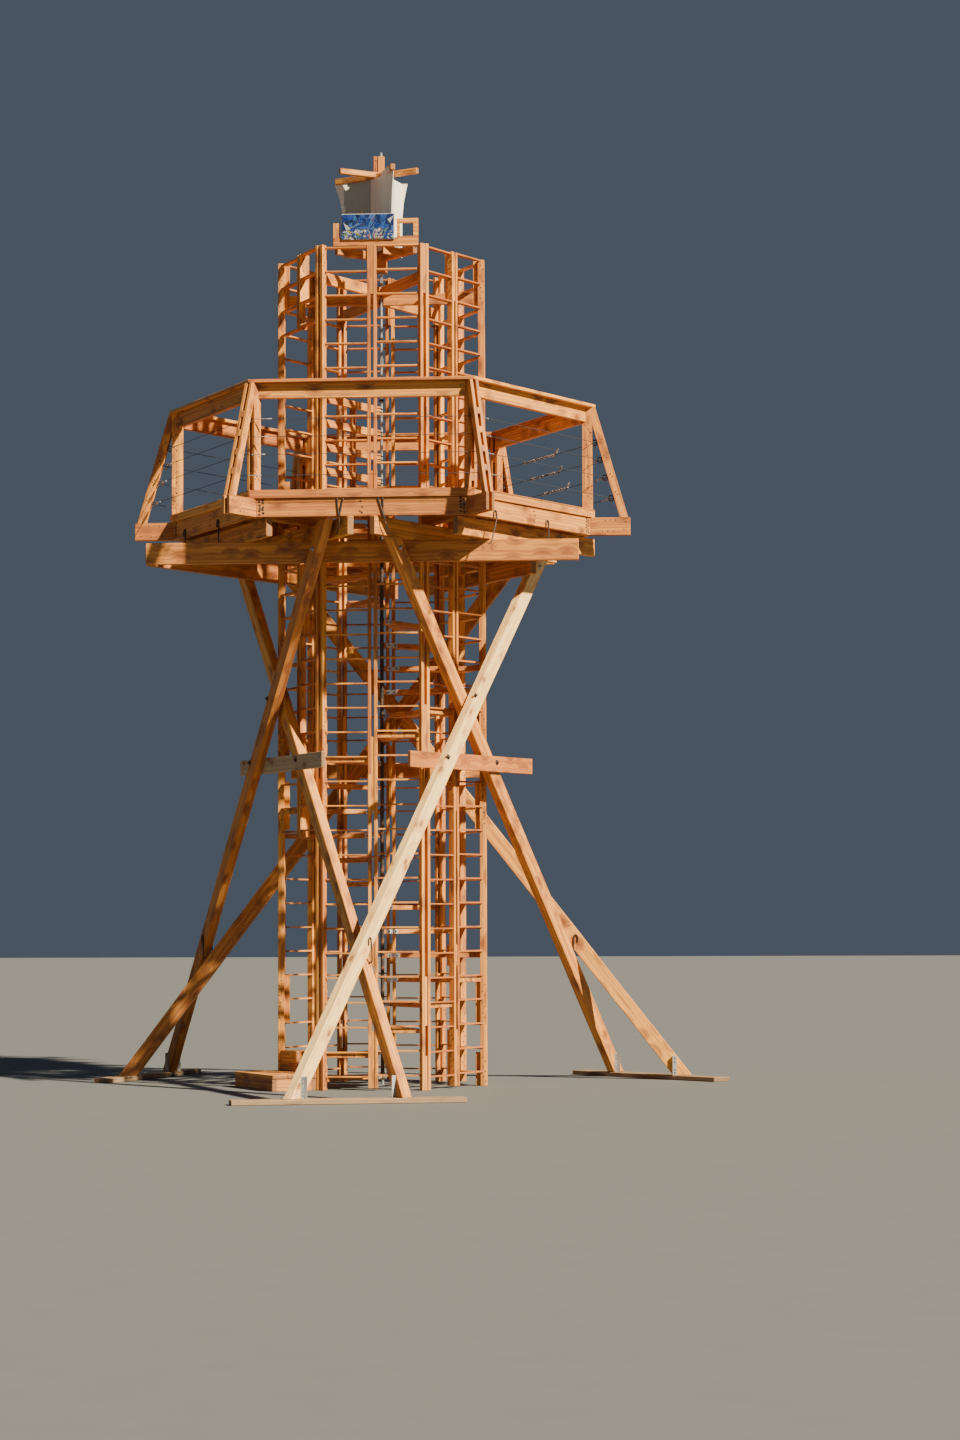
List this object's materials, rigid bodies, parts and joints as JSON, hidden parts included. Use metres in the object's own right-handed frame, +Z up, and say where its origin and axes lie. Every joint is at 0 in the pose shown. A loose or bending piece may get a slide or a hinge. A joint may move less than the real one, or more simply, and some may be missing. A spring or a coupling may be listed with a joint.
{
  "type": "observation tower",
  "caption": "Timber observation tower with a six-sided lattice stair shaft on crossing raking legs, a railed gallery near the top and a small lantern crown.",
  "frame": {"origin": "on the ground, under the central rod's foot plate", "axes": "+Z up; the front side, which the picture faces, looks along -Y; the entry side looks to the left front"},
  "size_m": [6.2051, 5.7378, 9.045],
  "materials": {
    "larch_timber": "new sawn larch, unpainted, with open grain and knots",
    "pale_timber": "paler planed softwood beam, unpainted",
    "galvanised_steel": "dull galvanised steel",
    "white_sheet": "thin off-white sheet, weathered and torn at one edge",
    "blue_mosaic": "glossy broken tiles in blues with pale joints"
  },
  "bodies": {
    "root": {"shaft_side_front": "larch_timber", "shaft_side_right_front": "larch_timber", "shaft_side_right_back": "larch_timber", "shaft_side_back": "larch_timber", "shaft_side_left_back": "larch_timber", "lattice_over_entry": "larch_timber", "lattice_over_gallery_door": "larch_timber", "central_rod": "galvanised_steel", "stair_flight_lower": "larch_timber", "stair_flight_upper": "larch_timber", "stair_guard": "larch_timber", "rod_spider": "larch_timber", "leg_right_outer": "pale_timber", "leg_right_inner": "larch_timber", "tie_right": "larch_timber", "leg_back_outer": "larch_timber", "leg_back_inner": "larch_timber", "tie_back": "larch_timber", "leg_left_outer": "larch_timber", "leg_left_inner": "larch_timber", "tie_left": "larch_timber", "sill_front": "larch_timber", "sill_right": "larch_timber", "sill_left": "larch_timber", "low_beam_front": "larch_timber", "low_beam_right": "larch_timber", "low_beam_left": "larch_timber", "joist_right_outer": "larch_timber", "joist_right_inner": "larch_timber", "joist_back_outer": "larch_timber", "joist_back_inner": "larch_timber", "joist_left_outer": "larch_timber", "joist_left_inner": "larch_timber", "deck_front": "larch_timber", "deck_right_front": "larch_timber", "deck_right_back": "larch_timber", "deck_back": "larch_timber", "deck_left_back": "larch_timber", "deck_left_front": "larch_timber", "gallery_post_front_right": "larch_timber", "gallery_post_right": "larch_timber", "gallery_post_back_right": "larch_timber", "gallery_post_back_left": "larch_timber", "gallery_post_left": "larch_timber", "gallery_post_front_left": "larch_timber", "handrail_front": "larch_timber", "handrail_right_front": "larch_timber", "handrail_right_back": "larch_timber", "handrail_back": "larch_timber", "handrail_left_back": "larch_timber", "handrail_left_front": "larch_timber", "gallery_cable": "galvanised_steel", "entry_step": "larch_timber", "entry_box": "larch_timber", "crown_frame": "larch_timber", "crown_panel": "blue_mosaic", "crown_arms": "larch_timber", "crown_sheets": "white_sheet"}
  },
  "joints": []
}
